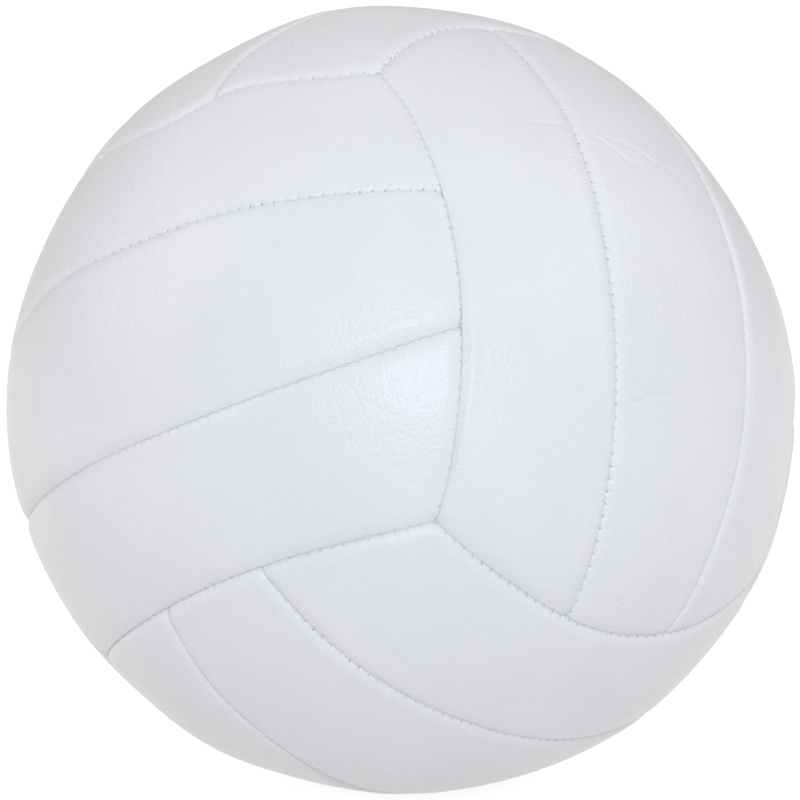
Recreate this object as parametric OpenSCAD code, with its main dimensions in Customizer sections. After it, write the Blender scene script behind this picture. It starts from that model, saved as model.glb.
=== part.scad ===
// Volleyball: eighteen sewn panels over a butyl bladder, with a needle valve.
// The panels lie in six groups of three, like the faces of a cube, and each seam is an arc of a circle.

/* [Ball] */
// Diameter over the panels
ball_d = 210; // [200:1:220]

/* [Panel pattern] */
// Angle at the centre from the middle of a group to the middle of its long side
group_half_angle = 37.7; // [36.5:0.1:39]
// Angle from the middle of a group to the middle of a seam between two of its strips
strip_half_angle = 14.8; // [13.5:0.1:16]
// Angle of the same seam where it ends at the next group
strip_end_angle = 10.1; // [9:0.1:11.5]

/* [Cover] */
// Thickness of a panel with its foam backing
cover_t = 4.2; // [3.5:0.1:6]
// Thickness of the synthetic leather
skin_t = 1.2; // [0.8:0.1:1.6]
// Radius of a panel's edge, where the leather is rolled inwards
edge_roll = 1.3; // [1:0.1:2]
// Gap between the sides of two panels that are sewn together
seam_gap = 0.1; // [0.05:0.01:0.2]
// Gap between pieces that are bonded or pushed together
bond_gap = 0.05; // [0.02:0.01:0.1]

/* [Sewing] */
// Diameter of the sewing thread
thread_d = 0.3; // [0.2:0.05:0.5]
// Length left free at each end of a thread, where the seams meet
thread_end = 1; // [0.5:0.1:3]

/* [Bladder] */
// Wall of the bladder
bladder_t = 0.8; // [0.5:0.1:1.5]
// Diameter of the patch that carries the valve inside the bladder
patch_d = 40; // [30:1:60]
// Thickness of the patch
patch_t = 0.8; // [0.5:0.1:1.5]

/* [Valve] */
// Diameter of the valve's stem, which shows at the surface
stem_d = 8; // [7:0.1:10]
// Depth of the valve's face below the surface
stem_sink = 0.4; // [0.2:0.1:0.8]
// Length of the valve's housing
housing_length = 22; // [19:0.5:30]
// Diameter of the flange that is bonded to the patch
flange_d = 22; // [16:0.5:28]
// Thickness of the flange
flange_t = 1.2; // [0.8:0.1:2]
// Diameter of the soft core inside the housing
core_d = 4.4; // [3.8:0.1:5]
// Length of the core
core_length = 15; // [12:0.5:17]
// Diameter of the core's head
head_d = 6; // [5.6:0.1:6.4]
// Thickness of the core's head
head_t = 1.2; // [0.8:0.1:2]
// Diameter of the channel for the inflating needle
needle_d = 2; // [1.6:0.1:2.4]
// Length of the channel below the funnel
channel_length = 9; // [6:0.5:10]
// Diameter of the funnel that guides the needle in
funnel_d = 3.6; // [3:0.1:4.2]
// Depth of the funnel
funnel_depth = 1.6; // [1:0.1:2.5]
// Diameter of the bead that locks the core in the housing
bead_d = 5.4; // [5:0.1:5.8]
// Width of the closed slit at the bottom of the core
slit_w = 0.2; // [0.1:0.05:0.3]

/* [How the ball lies] */
// Turn of the panel pattern about the X axis, made first
lie_x = 24; // [-180:1:180]
// Turn about the Y axis, made next
lie_y = -14; // [-180:1:180]
// Turn about the Z axis, made last
lie_z = -137; // [-180:1:180]

/* [Hidden] */
$fn = 96;

// Groups by the way they face. A group and the one after it in its row are opposite each other.
// The strips of a group run along its second axis, and are counted across its third.
group_names = [["front_left", "back_right"], ["front_right", "back_left"], ["top", "base"]];
strip_names = ["edge_a", "centre", "edge_b"];
side_names = ["a", "b"];

function group_name(axis, way) = group_names[axis][way];
function skin_name(axis, way, strip) = str("skin_", group_name(axis, way), "_", strip_names[strip]);
function foam_name(axis, way, strip) = str("foam_", group_name(axis, way), "_", strip_names[strip]);
function group_thread_name(axis, way, side) =
    str("thread_", group_name(axis, way), "_side_", side_names[side]);
function strip_thread_name(axis, way) = str("thread_", group_name(axis, way), "_strips");

AXES = [0, 1, 2];
WAYS = [0, 1];
SIDES = [0, 1];
STRIPS = [0, 1, 2];

// Radii of the layers, from the outside in
ball_r = ball_d / 2;
foam_top_r = ball_r - skin_t - bond_gap;
cover_r = ball_r - cover_t;
bladder_r = cover_r - bond_gap;
bladder_in_r = bladder_r - bladder_t;
patch_r = bladder_in_r - bond_gap;
flange_r = patch_r - patch_t - bond_gap;

// Tools that cut a layer reach this far past it
overrun = cover_t;
under_cover_r = cover_r - overrun;
reach_r = ball_r + overrun;

// The circle of a long seam passes through the corners of the cube and the middle of the group's side.
// Its axis leans by long_lean from the group's third axis, away from the group.
corner_share = 1 / sqrt(3);
long_lean = atan2(sin(group_half_angle) - corner_share, cos(group_half_angle) - corner_share);
long_half = 90 - (group_half_angle - long_lean);
long_sweep = atan2(1, cos(long_lean) + sin(long_lean));

// The seam between two strips ends on the long seams of the two next groups.
end_height_share = sin(strip_end_angle);
end_ring_share = cos(strip_end_angle);
end_turn = acos(cos(long_half) / end_ring_share) - long_lean;
end_normal_share = end_ring_share * cos(end_turn);
end_along_share = end_ring_share * sin(end_turn);
strip_lean = atan2(sin(strip_half_angle) - end_height_share, cos(strip_half_angle) - end_normal_share);
strip_half = 90 - (strip_half_angle - strip_lean);
strip_plane = ball_r * cos(strip_half);
strip_sweep = atan2(
    end_along_share,
    end_normal_share * cos(strip_lean) + end_height_share * sin(strip_lean)
);

// The circle that rounds an edge passes the two faces that it rounds by a hair, so that it cuts both.
roll_bite_share = 0.015;
roll_inset = edge_roll * (1 - roll_bite_share);

// A thread lies in the groove between two rolled edges, and rests on both.
thread_reach = edge_roll + thread_d / 2 + bond_gap;
thread_r = ball_r - roll_inset + sqrt(pow(thread_reach, 2) - pow(roll_inset + seam_gap / 2, 2));

// Heights along the valve's axis
stem_top = ball_r - stem_sink;
housing_bottom = stem_top - housing_length;
core_bottom = stem_top - core_length;
channel_top = stem_top - funnel_depth;
channel_bottom = channel_top - channel_length;
bead_z = stem_top - head_t - (core_length - head_t) / 2;
bead_half = (bead_d - core_d) / 2;
stem_hole_r = stem_d / 2 + bond_gap;

// Angle that a length takes up on the ball's surface
function angle_of(length) = asin(length / ball_r);

// Everything is drawn with its group facing +X, its strips along Y and counted up Z, and then placed.
module place(axis, way) {
    rotate([lie_x, lie_y, lie_z])
        rotate(120 * axis, [1, 1, 1])
            rotate([0, 0, 180 * way])
                children();
}

// Turn a shape about Z into the axis of one of the seams round a group.
// side is 1 or -1: the seam at the end of the strips towards +Y or -Y, or the one above or below in Z.
module about_end_seam(side) {
    rotate([0, 90, -side * long_lean])
        children();
}

module about_long_seam(side) {
    mirror([0, 0, side < 0 ? 1 : 0])
        rotate([0, -long_lean, 0])
            children();
}

module about_strip_seam(side) {
    mirror([0, 0, side < 0 ? 1 : 0])
        rotate([0, -strip_lean, 0])
            children();
}

// A sphere about the ball's centre, with its poles along Y and its own seam line behind the centre
module layer(radius) {
    rotate([90, 0, 180])
        sphere(radius);
}

// The side of a long seam: a large sphere on the Z axis that crosses the ball squarely along the seam.
// Its inside holds all of the cover within half an angle of the axis.
module within_long(half) {
    rotate([0, 0, 180])
        translate([0, 0, ball_r / cos(half)])
            sphere(ball_r * tan(half));
}

// The side of a strip seam is nearly a plane through the centre, and is drawn as one. What lies above it
// is cut off a centre strip, and what lies below it off an edge strip, both drawn in by inset.
module above_strip_seam(inset) {
    translate([-reach_r, -reach_r, strip_plane - inset])
        cube([2 * reach_r, 2 * reach_r, reach_r]);
}

module below_strip_seam(inset) {
    translate([-reach_r, -reach_r, strip_plane + inset - 2 * reach_r])
        cube([2 * reach_r, 2 * reach_r, 2 * reach_r]);
}

// What a rolled edge takes off the corner of a panel, for a panel side that is drawn in the plane of
// the Z axis as a line turned from the X axis, at a height over the centre.
// side is 1 for the panel within the seam's circle, and -1 for the one outside it.
module roll_cut(turn, height, side) {
    centre_y = height + side * roll_inset;
    centre_x = sqrt(pow(ball_r - roll_inset, 2) - pow(centre_y, 2));
    rotate([0, 0, 180])
        rotate_extrude()
            rotate(turn)
                translate([centre_x, centre_y])
                    difference() {
                        mirror([0, side > 0 ? 1 : 0])
                            square(edge_roll + overrun);
                        circle(edge_roll);
                    }
}

module long_roll(side) {
    roll_cut(90 - long_half + side * angle_of(seam_gap / 2), 0, side);
}

module strip_roll(side) {
    roll_cut(0, strip_plane + side * seam_gap / 2, side);
}

// The block of one strip between two radii, drawn in from its seams by inset.
// The centre strip lies between two strip seams, and an edge strip between a strip seam and a long seam.
module strip_block(strip, top_r, bottom_r, inset) {
    angle = angle_of(inset);
    difference() {
        intersection() {
            layer(top_r);
            about_end_seam(1)
                within_long(long_half - angle);
            about_end_seam(-1)
                within_long(long_half - angle);
        }
        layer(bottom_r);
        if (strip == 1) {
            for (side = [-1, 1])
                about_strip_seam(side)
                    above_strip_seam(inset);
        } else {
            about_strip_seam(strip - 1)
                below_strip_seam(inset);
        }
        if (strip != 1)
            about_long_seam(strip - 1)
                within_long(long_half + angle);
    }
}

// The roll along one long side of a strip. side is 1 or -1, as the strip's own upper or lower side.
module side_roll(strip, side) {
    if (strip == 1)
        about_strip_seam(side)
            strip_roll(-1);
    else if (strip - 1 == side)
        about_long_seam(side)
            long_roll(-1);
    else
        about_strip_seam(-side)
            strip_roll(1);
}

// Roll the four edges of a strip, one cut after another
module rolled(strip) {
    difference() {
        difference() {
            difference() {
                difference() {
                    children();
                    side_roll(strip, 1);
                }
                side_roll(strip, -1);
            }
            about_end_seam(1)
                long_roll(1);
        }
        about_end_seam(-1)
            long_roll(1);
    }
}

// The valve comes out in the middle of the centre strip of the top group.
function has_valve(axis, way, strip) = axis == 2 && way == 0 && strip == 1;

module stem_hole() {
    cylinder(h = reach_r, r = stem_hole_r);
}

// Synthetic leather of one panel, with its four sides turned in and the edges rolled
module skin(axis, way, strip) {
    color("ghostwhite")
        place(axis, way)
            rolled(strip)
                difference() {
                    strip_block(strip, ball_r, cover_r, seam_gap / 2);
                    strip_block(strip, ball_r - skin_t, under_cover_r, seam_gap / 2 + skin_t);
                    if (has_valve(axis, way, strip))
                        rotate([0, 90, 0])
                            stem_hole();
                }
}

// Foam backing that fills the tray of the leather
module foam(axis, way, strip) {
    color("gainsboro")
        place(axis, way)
            difference() {
                strip_block(strip, foam_top_r, cover_r, seam_gap / 2 + skin_t + bond_gap);
                if (has_valve(axis, way, strip))
                    rotate([0, 90, 0])
                        stem_hole();
            }
}

// One length of thread along a seam, either way from the seam's middle by the sweep
module thread_arc(half, sweep) {
    reach = sweep - asin(thread_end / (thread_r * sin(half)));
    rotate_extrude(angle = 2 * reach, start = -reach)
        translate([thread_r * sin(half), thread_r * cos(half)])
            circle(d = thread_d);
}

module group_thread(axis, way, side) {
    color("white")
        place(axis, way)
            about_long_seam(2 * side - 1)
                thread_arc(long_half, long_sweep);
}

module strip_thread(axis, way) {
    color("white")
        place(axis, way)
            for (side = [-1, 1])
                about_strip_seam(side)
                    thread_arc(strip_half, strip_sweep);
}

// Place a shape drawn up the Z axis at the valve, where the top group faces
module at_valve() {
    place(2, 0)
        rotate([0, 90, 0])
            children();
}

module bladder() {
    color("dimgray")
        at_valve()
            difference() {
                sphere(bladder_r);
                sphere(bladder_in_r);
                stem_hole();
            }
}

// A round slice of a spherical shell at the top of the Z axis
module dome(top_r, thickness, diameter) {
    difference() {
        intersection() {
            sphere(top_r);
            cylinder(h = reach_r, d = diameter);
        }
        sphere(top_r - thickness);
    }
}

module valve_patch() {
    color("slategray")
        at_valve()
            difference() {
                dome(patch_r, patch_t, patch_d);
                stem_hole();
            }
}

// Housing of the valve: a stem with a flange, bored for the core, with a way through at the bottom
module valve_housing() {
    floor_top = core_bottom - bond_gap;
    color("black")
        at_valve()
            difference() {
                union() {
                    translate([0, 0, housing_bottom])
                        cylinder(h = housing_length, d = stem_d);
                    dome(flange_r, flange_t, flange_d);
                }
                translate([0, 0, floor_top])
                    cylinder(h = reach_r - floor_top, d = core_d + 2 * bond_gap);
                translate([0, 0, housing_bottom - overrun])
                    cylinder(h = reach_r - housing_bottom, d = needle_d + 2 * bond_gap);
                translate([0, 0, stem_top - head_t - bond_gap])
                    cylinder(h = head_t + overrun, d = head_d + 2 * bond_gap);
                bead(bead_d + 2 * bond_gap, bead_half + bond_gap);
            }
}

// A ring with a sloped top and bottom, which holds the core in its housing
module bead(diameter, half_height) {
    translate([0, 0, bead_z])
        rotate_extrude()
            polygon([
                [0, -half_height],
                [diameter / 2 - half_height, -half_height],
                [diameter / 2, 0],
                [diameter / 2 - half_height, half_height],
                [0, half_height]
            ]);
}

// Soft core: a funnel leads the needle into the channel, and the slit below closes when it is out.
module valve_core() {
    color("darkslategray")
        at_valve()
            difference() {
                union() {
                    translate([0, 0, core_bottom])
                        cylinder(h = core_length, d = core_d);
                    translate([0, 0, stem_top - head_t])
                        cylinder(h = head_t, d = head_d);
                    bead(bead_d, bead_half);
                }
                translate([0, 0, channel_bottom])
                    cylinder(h = channel_length + overrun, d = needle_d);
                translate([0, 0, channel_top])
                    cylinder(h = funnel_depth, d1 = needle_d, d2 = funnel_d);
                translate([-needle_d / 2, -slit_w / 2, core_bottom - overrun])
                    cube([needle_d, slit_w, channel_bottom - core_bottom + 2 * overrun]);
            }
}

for (axis = AXES, way = WAYS) {
    for (strip = STRIPS) {
        skin(axis, way, strip);
        foam(axis, way, strip);
    }
    for (side = SIDES) {
        group_thread(axis, way, side);
    }
    strip_thread(axis, way);
}
bladder();
valve_patch();
valve_housing();
valve_core();
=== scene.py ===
import math

import bpy
import numpy as np
from mathutils import Matrix, Vector


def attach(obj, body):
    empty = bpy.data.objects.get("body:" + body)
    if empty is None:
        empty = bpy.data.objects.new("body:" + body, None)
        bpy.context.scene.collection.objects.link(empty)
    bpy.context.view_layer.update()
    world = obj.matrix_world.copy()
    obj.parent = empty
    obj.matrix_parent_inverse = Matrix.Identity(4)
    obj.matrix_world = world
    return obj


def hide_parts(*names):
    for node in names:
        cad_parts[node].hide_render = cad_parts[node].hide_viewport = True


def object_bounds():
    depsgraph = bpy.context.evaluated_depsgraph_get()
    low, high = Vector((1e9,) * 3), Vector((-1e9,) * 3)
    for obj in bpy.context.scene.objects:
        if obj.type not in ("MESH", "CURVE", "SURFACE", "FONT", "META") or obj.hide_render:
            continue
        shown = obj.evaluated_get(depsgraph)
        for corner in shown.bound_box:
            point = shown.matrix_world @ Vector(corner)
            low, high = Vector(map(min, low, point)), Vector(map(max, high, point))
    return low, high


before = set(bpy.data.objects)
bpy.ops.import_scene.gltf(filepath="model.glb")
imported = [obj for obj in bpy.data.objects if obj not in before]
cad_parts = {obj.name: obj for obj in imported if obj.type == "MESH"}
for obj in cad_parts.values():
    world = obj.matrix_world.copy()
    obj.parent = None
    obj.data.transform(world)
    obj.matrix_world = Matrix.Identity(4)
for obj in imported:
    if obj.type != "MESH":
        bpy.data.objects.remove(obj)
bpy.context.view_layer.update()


# The camera. It looks a little down on the ball from a long way off, as the photograph does, with the
# ball a few pixels to the right of the frame's middle and below it. Places that are read off the
# photograph are given in its pixels, here and further down.
FRAME_SIZE = 800
SEEN_RIGHT, SEEN_BELOW, SEEN_R = 3.1, 4.7, 391.9
CAMERA_AWAY = 1.299
LOOK_ROUND, LOOK_DOWN, LOOK_ROLL = -0.53, 7.5, 0.17
camera = bpy.data.objects.new("camera", bpy.data.cameras.new("camera"))
bpy.context.scene.collection.objects.link(camera)
bpy.context.scene.camera = camera
camera.data.lens = 217.4
camera.data.sensor_width = 36
camera.data.shift_x = -SEEN_RIGHT / FRAME_SIZE
camera.data.shift_y = SEEN_BELOW / FRAME_SIZE
camera.data.clip_end = 50
camera_turn = (Matrix.Rotation(math.radians(LOOK_ROUND), 4, "Z")
               @ Matrix.Rotation(math.radians(90 - LOOK_DOWN), 4, "X")
               @ Matrix.Rotation(math.radians(LOOK_ROLL), 4, "Z"))
camera.matrix_world = camera_turn @ Matrix.Translation((0, 0, CAMERA_AWAY))
camera_axes = np.array(camera_turn.to_3x3()).T


# The cover: eighteen panels of soft synthetic leather in six groups of three, turned in at their edges and
# sewn together. Blown up, it isn't quite round: its outline in the photograph swells and flattens by a
# millimetre or two, and the panels are faintly uneven. Lengths are in millimetres until a mesh is made.
BALL_R = 105.0
OUTLINE = [  # angle round the outline, anticlockwise from the right, and how far it stands out there
    (0, 0.2), (15, -0.7), (30, -1.7), (40, -1.85), (50, -0.9), (58, 0.15), (69, 1.0), (84, 1.5), (97, 2.3),
    (106, 1.95), (116, 1.15), (132, 1.2), (147, 0.55), (160, 0.5), (172, 1.2), (184, 1.35), (196, 1.4),
    (206, 0.75), (218, 0.35), (230, -0.2), (241, 0.0), (252, -0.9), (266, -0.8), (281, -0.8), (292, -0.5),
    (303, 0.2), (312, 0.5), (321, 0.2), (334, 0.95), (346, 0.45),
]
BLEND_REACH = 15
UNEVEN, UNEVEN_SIZE = 0.12, 22
RIPPLE_WAVES = 9


def blend(places, values):
    """A smooth function of direction that has those values at those places and fades out away from them."""
    def nearness(directions):
        off = np.degrees(np.arccos(np.clip(directions @ places.T, -1, 1)))
        return np.exp(-(off / BLEND_REACH) ** 2)
    weights = np.linalg.solve(nearness(places), values)
    return lambda directions: nearness(directions) @ weights


def ripple(points, size, seed):
    """Smooth unevenness between about -1 and 1, with humps that are about size across."""
    rng = np.random.default_rng(seed)
    waves = rng.normal(size=(RIPPLE_WAVES, 3))
    waves *= 2 * math.pi / (2 * size * np.linalg.norm(waves, axis=1, keepdims=True))
    starts = rng.uniform(0, 2 * math.pi, RIPPLE_WAVES)
    return np.sin(points @ waves.T + starts).sum(axis=1) / math.sqrt(RIPPLE_WAVES)


outline_turns = np.radians([angle for angle, height in OUTLINE])[:, None]
outline_swell = blend(np.cos(outline_turns) * camera_axes[0] + np.sin(outline_turns) * camera_axes[1],
                      np.array([height for angle, height in OUTLINE]))


def swell(directions):
    """How far the ball stands out from the true sphere in each direction."""
    return outline_swell(directions) + UNEVEN * ripple(directions * BALL_R, UNEVEN_SIZE, seed=1)


def seen_at(x, y):
    """The direction from the ball's centre to the point of its surface that the camera sees at a pixel."""
    across = (x - (FRAME_SIZE / 2 + SEEN_RIGHT)) / SEEN_R
    up = (FRAME_SIZE / 2 + SEEN_BELOW - y) / SEEN_R
    away = CAMERA_AWAY * 1000 / BALL_R
    # The camera sees a point at k times its place across and up, in ball radii. The depth and the ball's
    # size at the point depend on each other, and settle within a few rounds.
    depth, size = 0.0, 1.0
    for _ in range(20):
        k = math.sqrt(away ** 2 - 1) / (away - depth)
        depth = math.sqrt(max(0.0, size ** 2 - (across / k) ** 2 - (up / k) ** 2))
        point = across / k * camera_axes[0] + up / k * camera_axes[1] + depth * camera_axes[2]
        point /= np.linalg.norm(point)
        size = 1 + swell(point[None])[0] / BALL_R
    return point


# The pattern has the same values as in the part's source. A group is drawn facing +X with its three
# strips along Y, counted up Z, and then turned to its place. Every seam is a circle of the sphere.
GROUP_NAMES = [("front_left", "back_right"), ("front_right", "back_left"), ("top", "base")]
STRIP_NAMES = ("edge_a", "centre", "edge_b")
GROUPS = [(axis, way) for axis in range(3) for way in range(2)]
LIE = (24, -14, -137)
GROUP_HALF, STRIP_HALF, STRIP_END = (math.radians(a) for a in (37.7, 14.8, 10.1))
CORNER = 1 / math.sqrt(3)

long_lean = math.atan2(math.sin(GROUP_HALF) - CORNER, math.cos(GROUP_HALF) - CORNER)
long_lift = GROUP_HALF - long_lean
end_turn = math.acos(math.sin(long_lift) / math.cos(STRIP_END)) - long_lean
strip_lean = math.atan2(math.sin(STRIP_HALF) - math.sin(STRIP_END),
                        math.cos(STRIP_HALF) - math.cos(STRIP_END) * math.cos(end_turn))
strip_lift = STRIP_HALF - strip_lean
# The four seams across a group, from the lowest: how far each one's axis is tilted, and its latitude
SEAMS = [(long_lean, -long_lift), (strip_lean, -strip_lift),
         (-strip_lean, strip_lift), (-long_lean, long_lift)]

# Where the photograph shows a seam, in its pixels, and how far it lies there to the right of and below
# the regular pattern: the panels of the real ball are sewn and stretched a little unevenly.
SHIFTS = [
    (378, 69, 3, -3), (298, 77, 0, -3), (210, 97, 7, -5), (143, 133, 2, 3), (242, 55, -3, -3),
    (465, 20, -1, -4), (495, 27, 0, -1), (556, 98, 1, 1), (442, 190, 0, -5), (336, 193, 0, 0),
    (204, 218, 1, 5), (115, 251, 2, 6), (462, 325, 2, -7), (365, 356, 2, -2), (194, 419, 0, 3),
    (436, 523, 5, 3), (375, 537, 1, 3), (257, 570, 1, -1), (162, 612, 4, -1), (341, 656, -1, 3),
    (483, 730, -1, -1), (273, 746, 2, -4), (569, 620, 2, 4), (607, 635, 0, 5), (669, 636, 5, 2),
    (604, 515, 5, -1), (612, 280, -2, 1), (723, 224, -5, 2), (749, 352, -6, 0), (701, 584, 3, 2),
    (102, 159, -10, 6), (106, 656, -4, 4),
]
regular_places = np.array([seen_at(x - right, y - down) for x, y, right, down in SHIFTS])
real_places = np.array([seen_at(x, y) for x, y, right, down in SHIFTS])
shift = blend(regular_places, real_places - regular_places)


def group_turn(axis, way):
    """The rotation that takes a group from where it is drawn to its place."""
    turn = (Matrix.Rotation(math.radians(LIE[2]), 3, "Z") @ Matrix.Rotation(math.radians(LIE[1]), 3, "Y")
            @ Matrix.Rotation(math.radians(LIE[0]), 3, "X")
            @ Matrix.Rotation(math.radians(120 * axis), 3, Vector((1, 1, 1)))
            @ Matrix.Rotation(math.pi * way, 3, "Z"))
    return np.array(turn)


def placed(drawn, axis, way):
    """The directions of points of a group, from the directions in which it is drawn."""
    directions = drawn @ group_turn(axis, way).T
    directions = directions + shift(directions)
    return directions / np.linalg.norm(directions, axis=1, keepdims=True)


def strip_point(strip, inset, u, v):
    """Directions at u, -1 to 1 along a strip, and v, 0 to 1 across it, with the strip drawn in by inset."""
    narrow = inset / BALL_R
    (tilt_a, low), (tilt_b, high) = SEAMS[strip], SEAMS[strip + 1]
    tilt = tilt_a + (tilt_b - tilt_a) * v
    lift = low + narrow + (high - low - 2 * narrow) * v
    # The circle at that tilt and lift meets the end's seam where a cos(turn) + b sin(turn) = c.
    a = math.cos(long_lean) * np.cos(lift) * np.cos(tilt)
    b = math.sin(long_lean) * np.cos(lift)
    c = math.sin(long_lift + narrow) - math.cos(long_lean) * np.sin(lift) * np.sin(tilt)
    turn = u * (np.arccos(c / np.hypot(a, b)) - np.arctan2(b, a))
    return np.stack([
        np.sin(lift) * np.sin(tilt) + np.cos(lift) * np.cos(turn) * np.cos(tilt),
        np.cos(lift) * np.sin(turn),
        np.sin(lift) * np.cos(tilt) - np.cos(lift) * np.cos(turn) * np.sin(tilt),
    ], axis=-1)


def side_places(strip, points):
    """For each of a strip's four sides: the distance from its seam, and the place along that seam."""
    sides = []
    for seam, inward in ((strip, 1), (strip + 1, -1)):
        tilt, lift = SEAMS[seam]
        height = points @ np.array([math.sin(tilt), 0, math.cos(tilt)])
        turn = np.arctan2(points[:, 1], points @ np.array([math.cos(tilt), 0, -math.sin(tilt)]))
        sides.append((inward * (np.arcsin(height) - lift) * BALL_R, turn * math.cos(lift) * BALL_R))
    for end in (-1, 1):
        height = points @ np.array([math.cos(long_lean), -end * math.sin(long_lean), 0])
        outward = np.array([math.sin(long_lean), end * math.cos(long_lean), 0])
        turn = np.arctan2(points[:, 2], points @ outward)
        sides.append(((np.arcsin(height) - long_lift) * BALL_R, turn * math.cos(long_lift) * BALL_R))
    return sides


class Shade:
    """A value in a material's nodes. Sums with it are written as in Python, and add Math nodes."""

    def __init__(self, tree, socket):
        self.tree, self.socket = tree, socket

    def node(self, kind, inputs, output=0, **settings):
        """A new node of that kind, with its inputs by name or number."""
        node = self.tree.nodes.new("ShaderNode" + kind)
        for name, value in settings.items():
            setattr(node, name, value)
        for name, value in inputs.items():
            if isinstance(value, Shade):
                self.tree.links.new(value.socket, node.inputs[name])
            else:
                node.inputs[name].default_value = value
        return Shade(self.tree, node.outputs[output])

    def math(self, operation, *others):
        return self.node("Math", dict(enumerate((self, *others))), operation=operation)

    def __add__(self, other):
        return self.math("ADD", other)

    def __radd__(self, other):
        return self + other

    def __sub__(self, other):
        return self.math("SUBTRACT", other)

    def __rsub__(self, other):
        return self.node("Math", {0: other, 1: self}, operation="SUBTRACT")

    def __mul__(self, other):
        return self.math("MULTIPLY", other)

    def __rmul__(self, other):
        return self * other

    def __pow__(self, other):
        return self.math("POWER", other)

    def __rpow__(self, other):
        return self.node("Math", {0: other, 1: self}, operation="POWER")

    def ramp(self, low, high):
        """0 up to low, 1 from high on, and smooth between them. It falls if low is above high."""
        inputs = {0: self, 1: low, 2: high, 3: 0.0, 4: 1.0}
        return self.node("MapRange", inputs, interpolation_type="SMOOTHSTEP")

    def tint(self, start, end):
        """The colour from start to end as this value goes from 0 to 1. Either may be nodes itself."""
        start, end = (colour if isinstance(colour, Shade) else (*colour, 1) for colour in (start, end))
        return self.node("Mix", {0: self, 6: start, 7: end}, output=2, data_type="RGBA")


def new_material(name, roughness, **constants):
    """A material with its shader's constants set, and the places on the surface to build on."""
    material = bpy.data.materials.new(name)
    material.use_nodes = True
    shader = material.node_tree.nodes["Principled BSDF"]
    shader.inputs["Roughness"].default_value = roughness
    for socket, value in constants.items():
        shader.inputs[socket.replace("_", " ")].default_value = value
    place = Shade(material.node_tree, None).node("TexCoord", {}, output="Object")
    return material, shader, place


def link(value, shader, socket):
    value.tree.links.new(value.socket, shader.inputs[socket])


# The leather is white polyurethane on cloth, with a fine pressed grain. Painted shade makes it a little
# darker down in the seams, and beside each seam the needle has left a row of holes, more open on some seams
# than on others, each with a painted shadow as a dark dot.
STITCH_PITCH = 3.2
HOLE_OFFSET = 0.4
HOLE_RADIUS = 0.21
# How strong the painted shadows in the needle holes and the painted shade down in the seams are
HOLE_PAINTED_SHADOW, SEAM_PAINTED_SHADE = 0.65, 0.06
GRAIN_SCALE = 1100.0

leather, shader, place = new_material("leather", 0.4, Specular_IOR_Level=0.42)
seam_distance = place.node("Attribute", {}, output="Fac", attribute_name="seam_distance")
stitch_place = place.node("Attribute", {}, output="Fac", attribute_name="stitch_place")
hole_shown = place.node("Attribute", {}, output="Fac", attribute_name="hole_shown")
off_along = (stitch_place.math("FRACT") - 0.5) * STITCH_PITCH
off_across = seam_distance - HOLE_OFFSET
hole_off = (off_along * off_along + off_across * off_across) ** 0.5
# Painted shadow: a dark dot over each open needle hole, where the hole would lie in shade
hole = hole_off.ramp(HOLE_RADIUS * 1.3, HOLE_RADIUS * 0.6) * hole_shown
clouds = place.node("TexNoise", {"Vector": place, "Scale": 45.0, "Detail": 3.0})
cover = clouds.ramp(0.3, 0.7).tint((0.775, 0.78, 0.79), (0.795, 0.80, 0.81))
# Painted shade: the bottom of each seam's groove is greyed, as if it lay in shadow
cover = (SEAM_PAINTED_SHADE * seam_distance.ramp(0.35, 0.0)).tint(cover, (0.5, 0.5, 0.5))
cover = (HOLE_PAINTED_SHADOW * hole).tint(cover, (0.12, 0.12, 0.13))
link(cover, shader, "Base Color")
pebbles = place.node("TexVoronoi", {"Vector": place, "Scale": GRAIN_SCALE}, feature="SMOOTH_F1")
fuzz = place.node("TexNoise", {"Vector": place, "Scale": GRAIN_SCALE, "Detail": 4.0, "Roughness": 0.6})
grain = 0.6 * pebbles + 0.7 * fuzz
link(0.28 + 0.1 * grain.ramp(0.3, 1.0), shader, "Roughness")
link(grain.node("Bump", {"Height": grain, "Strength": 0.6, "Distance": 0.00038}), shader, "Normal")

# A panel is a sheet whose four sides are rolled over, turned in and sewn to the next panel's, so that the
# seam is a soft valley, pulled in at every stitch. The face's border is a band of fine loops, given by how
# far each is drawn in from the seam, round a coarser grid, and the sheet goes back in underneath.
# How wide the rounding of the folded edge is, and how far it drops
EDGE_ROLL, EDGE_DROP = 0.35, 0.14
# Thickness of the leather and of the whole panel, and the gap on each panel's side of a seam
SKIN_T = 1.2
COVER_T = 4.2
SEAM_GAP = 0.02
BAND = [0.0, 0.03, 0.1, 0.22, 0.36, 0.5, 0.64, 0.8, 1.05, 1.4, 1.9, 2.7, 4.0]
# Down the side, in along the bottom of the turned-in leather, and up to the inside, as inset and depth
TURNED_IN = [(SEAM_GAP, COVER_T), (SEAM_GAP + SKIN_T, COVER_T), (SEAM_GAP + SKIN_T, SKIN_T + 1.0)]
INSIDE = 2.5, SKIN_T + 0.1
# How many cells the face's grid has along a strip, and how many parts each of them has at the edge. The
# group with the finest folds has a finer grid, and the inside's cells are three times as large.
ALONG, EDGE_PARTS = 138, 3
FOLDED_GROUP, FOLDED_ALONG, FOLDED_EDGE_PARTS = (1, 0), 330, 2
INSIDE_TIMES = 3

# The bead of leather that stands up beside a seam, how far a stitch pulls the seam in, more so where its
# hole is open, over what distance, and how deep the hole itself is
BEAD, BEAD_AT, BEAD_WIDTH = 0.12, 3.2, 1.6
PULL, HOLE_PULL, PULL_WIDTH = 0.18, 0.16, 1.0
PIT = 0.25
# Stitches pull, and their holes show, a little unevenly: by how much, over what distance
PULL_UNEVEN, PULL_UNEVEN_SIZE = 0.4, 4
HOLE_UNEVEN, HOLE_UNEVEN_SIZE = 0.3, 5
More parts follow.
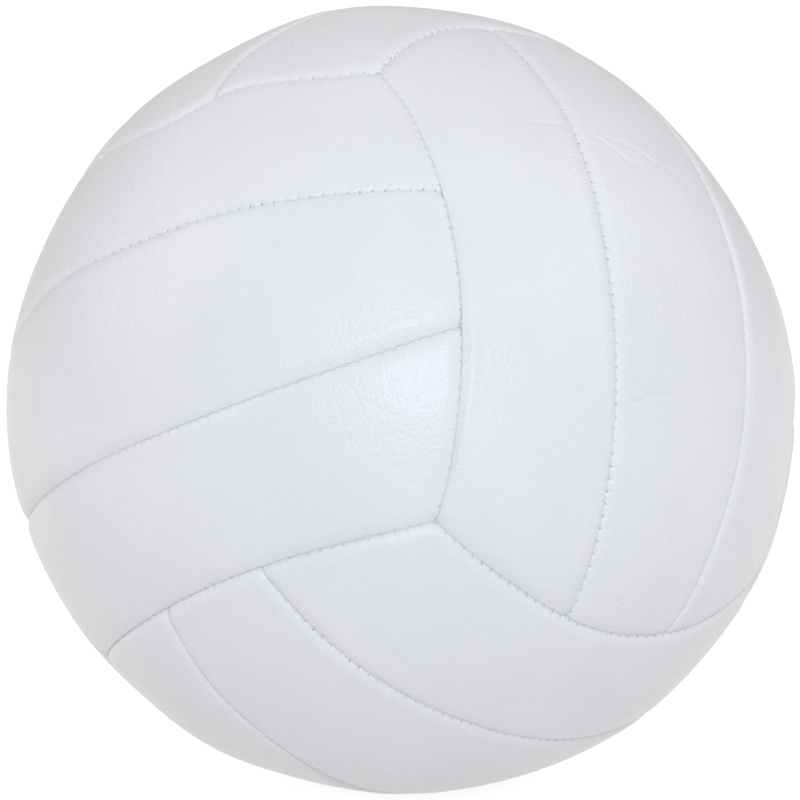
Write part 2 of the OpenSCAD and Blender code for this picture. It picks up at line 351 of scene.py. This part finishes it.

# How a panel dips towards its seams: the depth, which is the same on both sides of a seam, the width, and
# how clearly the needle's holes show, in their pits and painted shadows. By the group's axis: the two sides
# of edge_a, of the centre strip and of edge_b, from the lowest, and then the strips' ends, for the group as
# drawn and for the one turned.
DIPS = [
    [(1.3, 2.2, 0), (1.6, 1.6, 0.45), (1.6, 2.6, 0), (0.8, 1.7, 0), (0.8, 1.1, 0.85), (1.0, 1.7, 0),
     (0.8, 1.5, 0.55), (0.8, 1.5, 0.55)],
    [(0.8, 1.7, 0), (1.0, 0.8, 0), (1.0, 1.8, 0.5), (0.8, 1.2, 0.9), (0.8, 1.5, 0), (0.8, 1.5, 0),
     (1.2, 2.4, 0), (1.2, 2.4, 0)],
    [(1.2, 1.7, 0), (1.1, 1.0, 0.15), (1.1, 1.7, 0), (1.1, 1.0, 0.7), (1.1, 1.7, 0), (1.2, 1.0, 0.75),
     (1.0, 1.1, 0.5), (1.3, 1.0, 0.5)],
]
# Where the leather has closed over the holes, so that their pits and painted shadows fade: places in the
# photograph's pixels, and how far round them
HOLES_CLOSED = [
    (475, 20, 10), (505, 30, 12), (540, 75, 12), (60, 285, 16), (30, 310, 12), (190, 105, 12),
    (140, 135, 14), (110, 150, 10), (720, 615, 14), (600, 632, 6), (140, 625, 16), (190, 597, 14),
    (230, 580, 8), (80, 470, 16), (45, 493, 14), (700, 175, 16), (735, 260, 14), (747, 330, 8),
    (700, 584, 14), (272, 588, 10),
]
closed_places = np.array([seen_at(x, y) for x, y, reach in HOLES_CLOSED])
closed_reach = np.array([reach for x, y, reach in HOLES_CLOSED])

# Folds that the photograph shows, as points in its pixels: height and width in millimetres. A negative
# height is a crease.
FOLDS = [
    (-0.26, 0.8, [(527, 121), (540, 122), (560, 124), (572, 128)]),
    (-0.24, 0.9, [(590, 135), (603, 141), (616, 150), (630, 162), (645, 168)]),
    (-0.24, 0.9, [(602, 135), (616, 141), (629, 146), (643, 153), (654, 163), (680, 175)]),
    (-0.36, 0.9, [(626, 406), (639, 401), (649, 396), (656, 397), (672, 394), (681, 391)]),
    (-0.24, 0.9, [(684, 389), (700, 385), (722, 379)]),
    (-0.16, 1.4, [(600, 657), (625, 664), (660, 675)]),
    (0.4, 1.3, [(471, 318), (474, 345), (474, 370), (471, 395), (466, 422), (461, 446), (456, 475)]),
    (0.2, 2.2, [(330, 350), (365, 337), (400, 325), (430, 317)]),
]
# The cosine of the angle from a fold's middle point within which it is worked out
FOLD_REACH = 0.9

# The hole for the valve's stem, in the middle of one panel: radius and depth, from where it is rounded
# over at the face to where it is as wide as the stem needs. It takes up a block of the grid's cells.
VALVE_PANEL = 2, 0, 1
VALVE_CENTRE = np.array([1.0, 0, 0])
STEM_HOLE_R = 4.05
STEM_HOLE = [(5.6, 0), (5.0, 0.02), (4.6, 0.08), (4.35, 0.17), (4.15, 0.34),
             (STEM_HOLE_R, 0.6), (STEM_HOLE_R, 0.9)]
HOLE_CELLS = 6


def fold_height(directions):
    """What the folds add to the ball's surface."""
    out = np.zeros(len(directions))
    for height, width, line in FOLDS:
        line = [seen_at(x, y) for x, y in line]
        near = np.flatnonzero(directions @ line[len(line) // 2] > FOLD_REACH)
        spots, nearest = directions[near], np.full(len(near), np.inf)
        for a, b in zip(line, line[1:]):
            part = np.clip((spots - a) @ (b - a) / ((b - a) @ (b - a)), 0, 1)
            off = np.linalg.norm(spots - a - part[:, None] * (b - a), axis=1) * BALL_R
            nearest = np.minimum(nearest, off)
        ends = np.minimum(np.linalg.norm(spots - line[0], axis=1), np.linalg.norm(spots - line[-1], axis=1))
        fade = np.clip(ends * BALL_R / (2 * width), 0, 1)
        out[near] += height * np.exp(-(nearest / width) ** 2 * 2) * fade
    return out


def perimeter(strip, inset, along, across):
    """A closed loop of directions round a strip drawn in by inset, with that many parts to a side."""
    u, v = np.linspace(-1, 1, along + 1), np.linspace(0, 1, across + 1)
    return np.concatenate([
        strip_point(strip, inset, u[:-1], np.zeros(along)),
        strip_point(strip, inset, np.ones(across), v[:-1]),
        strip_point(strip, inset, u[:0:-1], np.ones(along)),
        strip_point(strip, inset, -np.ones(across), v[:0:-1]),
    ])


def cells_across(strip, along, step):
    """How many cells go across a strip for that many along it, in whole steps, to be about square."""
    low, high = strip_point(strip, 0, np.zeros(2), np.arange(2.0))
    return step * round(along * math.acos(low @ high) / (2 * end_turn) / step)


def grid_edge(numbers):
    """The numbers round a grid's edge, in the same order as perimeter's."""
    return np.concatenate([numbers[:-1, 0], numbers[-1, :-1], numbers[:0:-1, -1], numbers[0, :0:-1]])


def join(outer, inner):
    """Faces between two closed loops of point numbers, where outer has a whole number of times as many."""
    faces, times = [], len(outer) // len(inner)
    for n, (a, b) in enumerate(zip(inner, np.roll(inner, -1))):
        fine = [outer[(n * times + k) % len(outer)] for k in range(times + 1)]
        if times == 1:
            faces.append((fine[0], fine[1], b, a))
            continue
        half = times // 2
        faces += [(fine[k], fine[k + 1], a) for k in range(half)]
        faces.append((fine[half], b, a))
        faces += [(fine[k], fine[k + 1], b) for k in range(half, times)]
    return faces


def flipped(faces):
    return [face[::-1] for face in faces]


class Layers:
    """A strip's points, as directions and depths below the ball's outline, and the faces between them."""

    def __init__(self, strip):
        self.strip, self.directions, self.depths, self.faces = strip, [], [], []

    def add(self, directions, depth):
        """Add points at one depth. Their numbers come back."""
        start = sum(map(len, self.directions))
        self.directions.append(directions)
        self.depths.append(np.full(len(directions), float(depth)))
        return np.arange(start, start + len(directions))

    def add_loop(self, inset, depth, along, across):
        return self.add(perimeter(self.strip, inset, along, across), depth)

    def add_grid(self, inset, depth, along, across, hole):
        """Add a grid, with a hole that reaches that many cells. Its edge, faces and rim come back."""
        u, v = np.meshgrid(np.linspace(-1, 1, along + 1), np.linspace(0, 1, across + 1), indexing="ij")
        numbers = self.add(strip_point(self.strip, inset, u.ravel(), v.ravel()), depth)
        numbers = numbers.reshape(along + 1, across + 1)
        cells = np.stack([numbers[:-1, :-1], numbers[1:, :-1], numbers[1:, 1:], numbers[:-1, 1:]], axis=-1)
        kept = np.ones((along, across), bool)
        kept[along // 2 - hole:along // 2 + hole, across // 2 - hole:across // 2 + hole] = False
        rim = numbers[along // 2 - hole:along // 2 + hole + 1, across // 2 - hole:across // 2 + hole + 1]
        return grid_edge(numbers), cells[kept].tolist(), grid_edge(rim)

    def add_hole(self, rim, radius, depth):
        """Add a round loop for the valve's stem, with one point for each of a loop round it."""
        around = np.concatenate(self.directions)[rim]
        out = around - np.outer(around @ VALVE_CENTRE, VALVE_CENTRE)
        ways = out / np.linalg.norm(out, axis=1, keepdims=True)
        loop = math.cos(radius / BALL_R) * VALVE_CENTRE + math.sin(radius / BALL_R) * ways
        return self.add(loop, depth)


def seam_valley(sides, directions, axis, way, strip):
    """How far a panel's face lies below the ball's outline near its seams, and its stitches' places."""
    spots = directions * BALL_R
    roll, shoulder, pinch = 0.0, 0.0, 0.0
    pull = 1 + PULL_UNEVEN * ripple(spots, PULL_UNEVEN_SIZE, seed=6)
    off = np.arccos(np.clip(directions @ closed_places.T, -1, 1)) * BALL_R
    open_holes = np.prod(1 - np.exp(-(off / closed_reach) ** 4), axis=1)
    open_holes *= 1 - HOLE_UNEVEN / 2 + HOLE_UNEVEN * ripple(spots, HOLE_UNEVEN_SIZE, seed=7)
    nearest = np.full(len(directions), np.inf)
    stitches, hole_shown = np.zeros(len(directions)), np.zeros(len(directions))
    for n, (distance, along) in enumerate(sides):
        # A group that is turned half round counts its stitches the other way along its own long seams.
        along = -along if way and n < 2 else along
        distance = np.maximum(distance, 0)
        depth, width, holes = DIPS[axis][2 * strip + n if n < 2 else 6 + way]
        holes = holes * open_holes
        at_stitch = (0.5 - 0.5 * np.cos(2 * math.pi * along / STITCH_PITCH)) ** 3
        roll = roll + np.maximum(1 - distance / EDGE_ROLL, 0) ** 8
        shoulder = shoulder + depth * np.exp(-distance / width)
        shoulder = shoulder - BEAD * np.exp(-((distance - BEAD_AT) / BEAD_WIDTH) ** 2)
        near_seam = np.exp(-(distance / PULL_WIDTH) ** 2)
        pinch = pinch + (PULL + HOLE_PULL * holes) * pull * at_stitch * near_seam
        off_along = (along / STITCH_PITCH % 1 - 0.5) * STITCH_PITCH
        hole_off = np.hypot(off_along, distance - HOLE_OFFSET)
        pinch = pinch + PIT * holes * np.exp(-(hole_off / HOLE_RADIUS) ** 2)
        closer = distance < nearest
        nearest = np.where(closer, distance, nearest)
        stitches = np.where(closer, along / STITCH_PITCH, stitches)
        hole_shown = np.where(closer, holes, hole_shown)
    return EDGE_DROP * roll ** 0.25 + shoulder + pinch, {
        "seam_distance": nearest, "stitch_place": stitches, "hole_shown": hole_shown}


def make_mesh(name, points, faces, replaces, material):
    """A piece from points in millimetres, which stands for CAD nodes and takes one material."""
    mesh = bpy.data.meshes.new(name)
    mesh.from_pydata((points / 1000).tolist(), [], faces)
    mesh.validate()
    mesh.shade_smooth()
    piece = bpy.data.objects.new(name, mesh)
    bpy.context.scene.collection.objects.link(piece)
    piece.data.materials.append(material)
    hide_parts(*replaces)
    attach(piece, "root")
    return piece


def add_panel(axis, way, strip):
    """One panel's mesh, from the middle of its face out over the edges and back in underneath."""
    folded = (axis, way) == FOLDED_GROUP
    along, parts = (FOLDED_ALONG, FOLDED_EDGE_PARTS) if folded else (ALONG, EDGE_PARTS)
    across = cells_across(strip, along, 2 * INSIDE_TIMES)
    has_valve = (axis, way, strip) == VALVE_PANEL
    hole = HOLE_CELLS if has_valve else 0
    panel = Layers(strip)
    edge, face, rim = panel.add_grid(BAND[-1], 0, along, across, hole)
    panel.faces += face
    for inset, depth in [(inset, 0) for inset in reversed(BAND[:-1])] + TURNED_IN:
        loop = panel.add_loop(inset, depth, along * parts, across * parts)
        panel.faces += join(loop, edge)
        edge = loop
    inner_edge, inner_face, inner_rim = panel.add_grid(
        *INSIDE, along // INSIDE_TIMES, across // INSIDE_TIMES, hole // INSIDE_TIMES)
    panel.faces += flipped(inner_face) + flipped(join(edge, inner_edge))
    if has_valve:
        for radius, depth in STEM_HOLE:
            loop = panel.add_hole(rim, radius, depth)
            panel.faces += join(rim, loop)
            rim = loop
        panel.faces += join(rim, inner_rim)

    drawn, depths = np.concatenate(panel.directions), np.concatenate(panel.depths)
    directions = placed(drawn, axis, way)
    valley, places = seam_valley(side_places(strip, drawn), directions, axis, way, strip)
    on_face = np.maximum(0, 1 - depths / SKIN_T)
    radii = BALL_R + swell(directions) + on_face * fold_height(directions) - depths
    radii -= np.where(depths > SKIN_T, 0, valley)
    name = f"{GROUP_NAMES[axis][way]}_{STRIP_NAMES[strip]}"
    piece = make_mesh("panel_" + name, directions * radii[:, None], panel.faces,
                      ["skin_" + name], leather)
    for key, values in places.items():
        attribute = piece.data.attributes.new(key, "FLOAT", "POINT")
        attribute.data.foreach_set("value", values.astype(np.float32))


for axis, way in GROUPS:
    for strip in range(3):
        add_panel(axis, way, strip)


# Sewing thread: white polyester, waxed and twisted. It runs in every seam below the rolled edges, comes
# up between them at each stitch, and is tied off a little way from where seams meet.
THREAD_R = 0.2
THREAD_END = 1.0
# How far below the ball's outline it lies where it comes up and where it goes down
THREAD_UP, THREAD_DOWN = 1.9, 2.3
STEPS_PER_STITCH = 8
THREAD_SIDES = 6

thread_material, shader, place = new_material("thread", 0.6, Specular_IOR_Level=0.3)
twist = place.node("TexWave", {"Vector": place, "Scale": 900.0, "Distortion": 2.0})
link(twist.tint((0.72, 0.72, 0.71), (0.84, 0.84, 0.83)), shader, "Base Color")
link(place.node("Bump", {"Height": twist, "Strength": 0.4, "Distance": 0.00005}), shader, "Normal")


def thread_tube(path):
    """The points and faces of a thread round a path, closed at both ends."""
    forward = np.gradient(path, axis=0)
    up = path / np.linalg.norm(path, axis=1, keepdims=True)
    across = np.cross(forward, up)
    across /= np.linalg.norm(across, axis=1, keepdims=True)
    turns = 2 * math.pi * np.arange(THREAD_SIDES)[:, None] / THREAD_SIDES
    rings = [p + THREAD_R * (np.cos(turns) * a + np.sin(turns) * u) for p, a, u in zip(path, across, up)]
    numbers = np.arange(len(path) * THREAD_SIDES).reshape(len(path), THREAD_SIDES)
    faces = []
    for a, b in zip(numbers, numbers[1:]):
        faces += join(a, b)
    return np.concatenate(rings), faces + [tuple(numbers[0, ::-1]), tuple(numbers[-1])]


def add_thread(axis, way, name, seams):
    """A piece of thread for each seam, given by a strip and its lower or upper side."""
    points, faces = np.zeros((0, 3)), []
    for strip, side in seams:
        half = side_places(strip, strip_point(strip, 0, np.ones(1), np.full(1, float(side))))[side][1][0]
        reach = 1 - THREAD_END / half
        u = np.linspace(-reach, reach, round(2 * half / STITCH_PITCH * STEPS_PER_STITCH))
        drawn = strip_point(strip, 0, u, np.full(len(u), float(side)))
        along = side_places(strip, drawn)[side][1]
        directions = placed(drawn, axis, way)
        rise = 0.5 - 0.5 * np.cos(2 * math.pi * along / STITCH_PITCH)
        radii = BALL_R + swell(directions) - THREAD_DOWN + (THREAD_DOWN - THREAD_UP) * rise
        new, new_faces = thread_tube(directions * radii[:, None])
        faces += [tuple(n + len(points) for n in face) for face in new_faces]
        points = np.concatenate([points, new])
    make_mesh("sewn_" + name, points, faces, ["thread_" + name], thread_material)


for axis, way in GROUPS:
    group = GROUP_NAMES[axis][way]
    add_thread(axis, way, group + "_side_a", [(0, 0)])
    add_thread(axis, way, group + "_side_b", [(2, 1)])
    add_thread(axis, way, group + "_strips", [(1, 0), (1, 1)])


# Foam backing: a soft closed-cell pad bonded under each panel's leather, inside its turned-in sides. It
# is what makes the ball soft to hit, and is hidden once the ball is sewn.
FOAM_TOP, FOAM_SIDE_TOP, FOAM_BOTTOM = SKIN_T + 0.25, SKIN_T + 1.2, COVER_T - 0.05
FOAM_FACE_INSET, FOAM_SIDE_INSET = 2.7, 1.4
FOAM_ALONG, FOAM_HOLE_CELLS = 36, 2

foam_material, shader, place = new_material("foam", 0.9, Specular_IOR_Level=0.2)
bubbles = place.node("TexVoronoi", {"Vector": place, "Scale": 1300.0}, feature="SMOOTH_F1")
link(bubbles.tint((0.74, 0.7, 0.6), (0.86, 0.83, 0.74)), shader, "Base Color")
link(place.node("Bump", {"Height": bubbles, "Strength": 0.5, "Distance": 0.0002}), shader, "Normal")


def add_foam(axis, way, strip):
    """One panel's pad: its top, its sides and its bottom, with a hole for the valve's stem."""
    cells = FOAM_ALONG, cells_across(strip, FOAM_ALONG, 2)
    has_valve = (axis, way, strip) == VALVE_PANEL
    hole = FOAM_HOLE_CELLS if has_valve else 0
    foam = Layers(strip)
    top_edge, top, top_rim = foam.add_grid(FOAM_FACE_INSET, FOAM_TOP, *cells, hole)
    side_top = foam.add_loop(FOAM_SIDE_INSET, FOAM_SIDE_TOP, *cells)
    side_bottom = foam.add_loop(FOAM_SIDE_INSET, FOAM_BOTTOM, *cells)
    bottom_edge, bottom, bottom_rim = foam.add_grid(FOAM_FACE_INSET, FOAM_BOTTOM, *cells, hole)
    foam.faces += top + join(side_top, top_edge) + join(side_bottom, side_top)
    foam.faces += flipped(bottom) + join(bottom_edge, side_bottom)
    if has_valve:
        hole_top = foam.add_hole(top_rim, STEM_HOLE_R, FOAM_TOP)
        hole_bottom = foam.add_hole(bottom_rim, STEM_HOLE_R, FOAM_BOTTOM)
        foam.faces += join(top_rim, hole_top) + join(hole_top, hole_bottom) + join(hole_bottom, bottom_rim)
    directions = placed(np.concatenate(foam.directions), axis, way)
    radii = BALL_R + swell(directions) - np.concatenate(foam.depths)
    name = f"{GROUP_NAMES[axis][way]}_{STRIP_NAMES[strip]}"
    pad = make_mesh("pad_" + name, directions * radii[:, None], foam.faces,
                    ["foam_" + name], foam_material)


for axis, way in GROUPS:
    for strip in range(3):
        add_foam(axis, way, strip)


# Bladder: a thin black butyl balloon, blown up hard against the panels, with a hole for the valve's stem.
# It is drawn in rings from the hole to the far side, where a small flat face closes it.
BLADDER_DEPTH, BLADDER_T = 4.3, 0.8
BLADDER_RINGS, BLADDER_SIDES = 60, 96
BLADDER_CLOSE = 0.03

rubber, shader, place = new_material("butyl", 0.55, Specular_IOR_Level=0.4)
dust = place.node("TexNoise", {"Vector": place, "Scale": 60.0, "Detail": 5.0})
link(dust.ramp(0.35, 0.75).tint((0.02, 0.02, 0.021), (0.05, 0.05, 0.05)), shader, "Base Color")
link(0.45 + 0.25 * dust.ramp(0.3, 0.8), shader, "Roughness")
fine_dust = place.node("TexNoise", {"Vector": place, "Scale": 1500.0, "Detail": 2.0})
link(place.node("Bump", {"Height": fine_dust, "Strength": 0.2, "Distance": 0.00005}), shader, "Normal")

valve_axis = group_turn(*VALVE_PANEL[:2])[:, 0]
beside = np.cross(valve_axis, (0, 0, 1))
beside /= np.linalg.norm(beside)
from_valve = np.linspace(STEM_HOLE_R / BALL_R, math.pi - BLADDER_CLOSE, BLADDER_RINGS)[:, None, None]
around = (2 * math.pi * np.arange(BLADDER_SIDES) / BLADDER_SIDES)[None, :, None]
ways = np.cos(around) * beside + np.sin(around) * np.cross(valve_axis, beside)
directions = (np.cos(from_valve) * valve_axis + np.sin(from_valve) * ways).reshape(-1, 3)
outer_radii = (BALL_R + swell(directions) - BLADDER_DEPTH)[:, None]
numbers = np.arange(len(directions)).reshape(BLADDER_RINGS, BLADDER_SIDES)
faces = []
for a, b in zip(numbers, numbers[1:]):
    faces += join(a, b)
faces.append(tuple(numbers[-1]))
inner = len(directions)
faces += [tuple(n + inner for n in face[::-1]) for face in faces] + join(numbers[0] + inner, numbers[0])
points = np.concatenate([directions * outer_radii, directions * (outer_radii - BLADDER_T)])
make_mesh("balloon", points, faces, ["bladder"], rubber)


# Valve, opposite the side that the photograph shows: the CAD's patch, housing and core keep their
# shapes. The housing is moulded black rubber, the patch grey sheet, and the core softer and shinier.
def moulded(name, node, low, high, roughness):
    """Give a CAD node the look of moulded rubber, between two colours."""
    material, shader, place = new_material(name, roughness, Specular_IOR_Level=0.45)
    bloom = place.node("TexNoise", {"Vector": place, "Scale": 220.0, "Detail": 4.0})
    link(bloom.ramp(0.35, 0.7).tint(low, high), shader, "Base Color")
    link(roughness + 0.2 * bloom.ramp(0.3, 0.8), shader, "Roughness")
    speckle = place.node("TexNoise", {"Vector": place, "Scale": 2500.0, "Detail": 2.0})
    link(place.node("Bump", {"Height": speckle, "Strength": 0.25, "Distance": 0.00004}), shader, "Normal")
    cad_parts[node].data.materials.clear()
    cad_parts[node].data.materials.append(material)


moulded("patch_look", "valve_patch", (0.09, 0.09, 0.1), (0.14, 0.14, 0.15), 0.6)
moulded("housing_look", "valve_housing", (0.015, 0.015, 0.016), (0.035, 0.035, 0.037), 0.45)
moulded("core_look", "valve_core", (0.03, 0.03, 0.032), (0.06, 0.06, 0.062), 0.35)


# Floor: a plain white floor that keeps the ball's soft shadow. It is white to the camera and in mirrors,
# and sends less light than that up at the ball.
bpy.context.scene.view_settings.view_transform = "Standard"
FLOOR_SEEN, FLOOR_GLOW = 0.8, 0.325
FLOOR_CORNERS = [(-40, -20), (40, -20), (40, 80), (-40, 80)]

floor_material, shader, place = new_material("floor", 0.9, Base_Color=(0.42, 0.42, 0.42, 1),
                                             Specular_IOR_Level=0.0, Emission_Strength=FLOOR_SEEN)
by_camera, in_mirrors, through_glass = (
    place.node("LightPath", {}, output=f"Is {kind} Ray") for kind in ("Camera", "Glossy", "Transmission"))
seen = by_camera.math("MAXIMUM", in_mirrors).math("MAXIMUM", through_glass)
link(seen.tint((FLOOR_GLOW / FLOOR_SEEN,) * 3, (1, 1, 1)), shader, "Emission Color")
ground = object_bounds()[0][2]
floor_mesh = bpy.data.meshes.new("floor")
floor_mesh.from_pydata([(x, y, ground) for x, y in FLOOR_CORNERS], [], [(0, 1, 2, 3)])
floor = bpy.data.objects.new("floor", floor_mesh)
floor.data.materials.append(floor_material)
bpy.context.scene.collection.objects.link(floor)


# Light: that of a white room, and three soft boxes, one in front, a little above the camera, and one high
# on each side. Each is given by its direction across, up and towards the camera, how far it is, its size,
# in metres, its power and its colour.
ROOM_LIGHT = 0.59
SOFT_BOXES = {
    "front_lamp": ((0.06, 0.15, 0.99), 2.0, 0.5, 13.8, (0.84, 0.89, 1)),
    "left_lamp": ((-0.83, 0.54, 0.07), 1.6, 1.0, 4.0, (1, 1, 1)),
    "right_lamp": ((0.65, 0.68, 0.31), 1.6, 1.0, 4.0, (1, 1, 1)),
}

world = bpy.data.worlds.new("room")
bpy.context.scene.world = world
world.use_nodes = True
world.node_tree.nodes["Background"].inputs["Color"].default_value = (1, 1, 1, 1)
world.node_tree.nodes["Background"].inputs["Strength"].default_value = ROOM_LIGHT

for name, (direction, away, size, power, colour) in SOFT_BOXES.items():
    lamp = bpy.data.objects.new(name, bpy.data.lights.new(name, "AREA"))
    lamp.data.size = size
    lamp.data.energy = power
    lamp.data.color = colour
    towards = Vector(np.array(direction) @ camera_axes).normalized()
    lamp.location = towards * away
    lamp.rotation_euler = towards.to_track_quat("Z", "Y").to_euler()
    bpy.context.scene.collection.objects.link(lamp)
